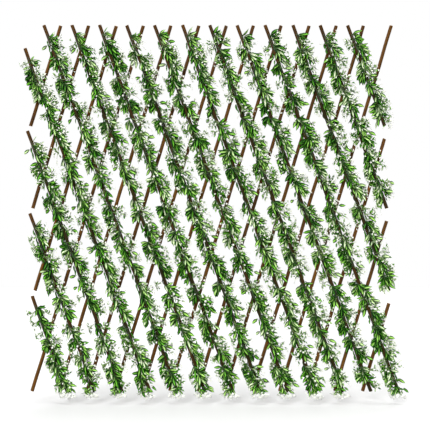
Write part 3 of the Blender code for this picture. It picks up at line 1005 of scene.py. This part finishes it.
def blued_steel():
    """Drawn steel nails, blued: nearly black metal with brown blotches."""
    material, tree, shader = new_material("blued_steel")
    place = add(tree, "ShaderNodeTexCoord").outputs["Object"]
    # Blotches of about 1 mm
    noise = add(tree, "ShaderNodeTexNoise", {"Vector": place, "Scale": 900.0, "Detail": 2.0})
    blue = ramp(tree, noise.outputs["Fac"], (0.35, "2b2a2b"), (0.6, "4b4743"), (0.75, "5b463a"))
    fill(tree, shader, {"Base Color": blue, "Metallic": 1.0, "Roughness": 0.45})
    return material


def moulded_leaf():
    """Moulded polyethylene leaves, sprayed: light in the middle, partly print and partly painted
    highlight, and dark at the edges, each leaf with a tone of its own between deep green and cream,
    a pale midrib, a faint shine and painted shade at its foot."""
    material, tree, shader = new_material("moulded_polyethylene_leaf")
    place = add(tree, "ShaderNodeUVMap", uv_map="surface").outputs["UV"]
    parts = add(tree, "ShaderNodeSeparateXYZ", {"Vector": place})
    turn = calculated(tree, "MULTIPLY", parts.outputs["X"], 2 * math.pi)
    aside = calculated(tree, "ABSOLUTE", calculated(tree, "COSINE", turn))
    tone = mark_of(tree, "tone")
    edge = ramp(tree, tone, (0.0, "011200"), (0.5, "062c01"), (0.8, "125005"),
                (1.0, "3a7a1c"))
    # The pale hearts are partly the leaves' print and partly painted highlight
    heart = ramp(tree, tone, (0.0, "1f6d0a"), (0.35, "62bb24"), (0.65, "b4ec70"),
                 (1.0, "f4fcd8"))
    coat = add(tree, "ShaderNodeTexCoord").outputs["Object"]
    # Spray mottling of about 3 mm
    mottle = add(tree, "ShaderNodeTexNoise", {"Vector": coat, "Scale": 330.0, "Detail": 2.0})
    # The way out to the edge, rounded off there
    outer = calculated(tree, "SMOOTH_MIN", aside, 1.0, 0.1)
    mixed = calculated(tree, "MULTIPLY_ADD", mottle.outputs["Fac"], 0.5, outer)
    blade = blended(tree, remapped(tree, mixed, 0.56, 0.86, 0.0, 1.0), heart, edge)
    rib = remapped(tree, aside, 0.0, 0.16, 0.55, 0.0)
    ribbed = blended(tree, rib, blade, linear("a9cf74"))
    # The foot of each leaf is the darkest: painted shade near the garland's core
    foot = remapped(tree, parts.outputs["Y"], 0.05, 0.6, 0.9, 0.0)
    foot_shaded = blended(tree, foot, ribbed, linear("0c2408"))
    fill(tree, shader, {"Base Color": foot_shaded, "Roughness": 0.4, "IOR": 1.5,
                        "Specular IOR Level": 0.05})
    return material


def wrapped_wire():
    """Garland core: steel wire wrapped in dark green tape, wound on in narrow turns."""
    material, tree, shader = new_material("tape_wrapped_wire")
    place = add(tree, "ShaderNodeUVMap", uv_map="surface").outputs["UV"]
    # Tape turns about every 8 mm, drawn coarse enough to show
    wraps = add(tree, "ShaderNodeTexWave", {"Vector": place, "Scale": 40.0, "Distortion": 1.0},
                bands_direction="Y")
    tape = ramp(tree, wraps.outputs["Fac"], (0.0, "0a1307"), (0.6, "13250d"), (1.0, "1f3a14"))
    fill(tree, shader, {"Base Color": tape, "Roughness": 0.6})
    return material


def green_stalk():
    """Thin moulded stalks: grey green polyethylene, paler where the mark is lower."""
    material, tree, shader = new_material("moulded_polyethylene_stalk")
    green = ramp(tree, mark_of(tree, "tone"), (0.2, "86a25c"), (0.6, "2a5c14"))
    fill(tree, shader, {"Base Color": green, "Roughness": 0.5})
    return material


def petal_cloth():
    """Stamped polyester petals: matt cream white, greenish towards a yellow middle."""
    material, tree, shader = new_material("stamped_polyester_petal")
    place = add(tree, "ShaderNodeUVMap", uv_map="surface").outputs["UV"]
    out = add(tree, "ShaderNodeSeparateXYZ", {"Vector": place}).outputs["Y"]
    white = ramp(tree, out, (0.05, "e6dc96"), (0.25, "f2f5e4"), (0.5, "fafbf6"),
                 (1.0, "ffffff"))
    # Each blossom is a little creamier or whiter than the next
    tinted = blended(tree, calculated(tree, "MULTIPLY", mark_of(tree, "tone"), 0.2), white,
                     linear("e6eed4"))
    fill(tree, shader, {"Base Color": tinted, "Roughness": 0.85})
    return material


FLOOR_LIFT = 0.09


def pale_floor():
    """A matt white studio floor. What the camera sees of it is lifted to white and keeps the
    fence's shadow; the lift lights nothing."""
    material, tree, shader = new_material("matt_white_floor")
    seen = add(tree, "ShaderNodeLightPath").outputs["Is Camera Ray"]
    fill(tree, shader, {"Base Color": linear("d4d4d4"), "Roughness": 0.9,
                        "Specular IOR Level": 0.1, "Emission Color": linear("ffffff"),
                        "Emission Strength": calculated(tree, "MULTIPLY", seen, FLOOR_LIFT)})
    return material


# Pieces

FRONT_SEED = 100
BACK_SEED = 200

willow = stained_willow()
steel = blued_steel()
leaf = moulded_leaf()
wire = wrapped_wire()
stalk = green_stalk()
petal = petal_cloth()

bunches = 0
for rod in lattice_rods("front"):
    draw = np.random.default_rng(FRONT_SEED + rod.number)
    body = f"front_{rod.number:02d}"
    rod_node = f"front_rod_{rod.number:02d}"
    garland_node = f"leaf_garland_{rod.number:02d}"
    piece(f"willow_front_{rod.number:02d}", [(rod_surface(rod, draw), willow)], body,
          [rod_node])
    piece(f"nails_{rod.number:02d}", [(nail_surface(rod, draw), steel)], body,
          [rod_node])
    thin, leaves = garland(rod, draw)
    filaments, blossoms, tiny_leaves = sprays(rod, draw)
    piece(f"garland_{rod.number:02d}",
          [(stem_surface(rod), wire)] + [(made, stalk) for made in thin]
          + [(made, leaf) for made in leaves + [tiny_leaves]], body, [garland_node])
    piece(f"sprays_{rod.number:02d}", [(filaments, stalk), (blossoms, petal)], body,
          [garland_node])
    if rod.foot_line and rod.number != BARE_FOOT:
        bunches += 1
        outer, inner, stalks, main_stalk, leaves = bunch(rod, draw)
        piece(f"bunch_{bunches:02d}", [(outer, petal), (inner, petal), (stalks, stalk),
                                       (main_stalk, wire), (leaves, leaf)], body,
              [f"flower_bunch_{bunches:02d}"])

for rod in lattice_rods("back"):
    draw = np.random.default_rng(BACK_SEED + rod.number)
    piece(f"willow_back_{rod.number:02d}", [(rod_surface(rod, draw), willow)],
          f"back_{rod.number:02d}", [f"back_rod_{rod.number:02d}"])

# Studio

FLOOR_LEVEL = -0.986
FLOOR_HALF = 5.0
# Each lamp's place, its spread in degrees and its strength
LAMPS = {
    "key_lamp": ((-0.8, -2.3, 1.15), 20.0, 2.6),
    "top_lamp": ((0.1, -0.15, 2.4), 42.0, 2.8),
    "rear_lamp": ((0.6, 2.4, 0.9), 60.0, 2.1),
}
WORLD_LIGHT = 0.09
CAMERA_PLACE = (0.028, -3.205, -0.391)
CAMERA_LENS = 85.0


def floor_mesh():
    """The floor: one large square."""
    mesh = bpy.data.meshes.new("floor")
    mesh.from_pydata([(-FLOOR_HALF, -FLOOR_HALF, FLOOR_LEVEL),
                      (FLOOR_HALF, -FLOOR_HALF, FLOOR_LEVEL),
                      (FLOOR_HALF, FLOOR_HALF, FLOOR_LEVEL),
                      (-FLOOR_HALF, FLOOR_HALF, FLOOR_LEVEL)], [], [(0, 1, 2, 3)])
    mesh.materials.append(pale_floor())
    return mesh


def far_lamp(name, place, spread, strength):
    """A soft lamp so far away that it lights the floor evenly; it shines from place to origin."""
    light = bpy.data.lights.new(name, "SUN")
    light.angle = math.radians(spread)
    light.energy = strength
    lamp = linked(name, light)
    lamp.location = place
    lamp.rotation_euler = Vector(place).to_track_quat("Z", "Y").to_euler()


def white_world():
    """A world that the camera, shine and see-through surfaces meet as white, and that lights the
    rest only faintly."""
    world = bpy.data.worlds.new("studio")
    world.use_nodes = True
    tree = world.node_tree
    ray = add(tree, "ShaderNodeLightPath").outputs
    mirrored = calculated(tree, "MAXIMUM", ray["Is Glossy Ray"], ray["Is Transmission Ray"])
    straight = calculated(tree, "MAXIMUM", ray["Is Camera Ray"], mirrored)
    strength = remapped(tree, straight, 0.0, 1.0, WORLD_LIGHT, 1.0)
    fill(tree, tree.nodes["Background"], {"Color": linear("ffffff"), "Strength": strength})
    return world


floor = linked("floor", floor_mesh())
for lamp_name, (place, spread, strength) in LAMPS.items():
    far_lamp(lamp_name, place, spread, strength)
bpy.context.scene.world = white_world()

camera = linked("camera", bpy.data.cameras.new("camera"))
camera.data.lens = CAMERA_LENS
camera.location = CAMERA_PLACE
camera.rotation_euler = (math.pi / 2, 0.0, 0.0)
bpy.context.scene.camera = camera
bpy.context.scene.view_settings.view_transform = "Standard"
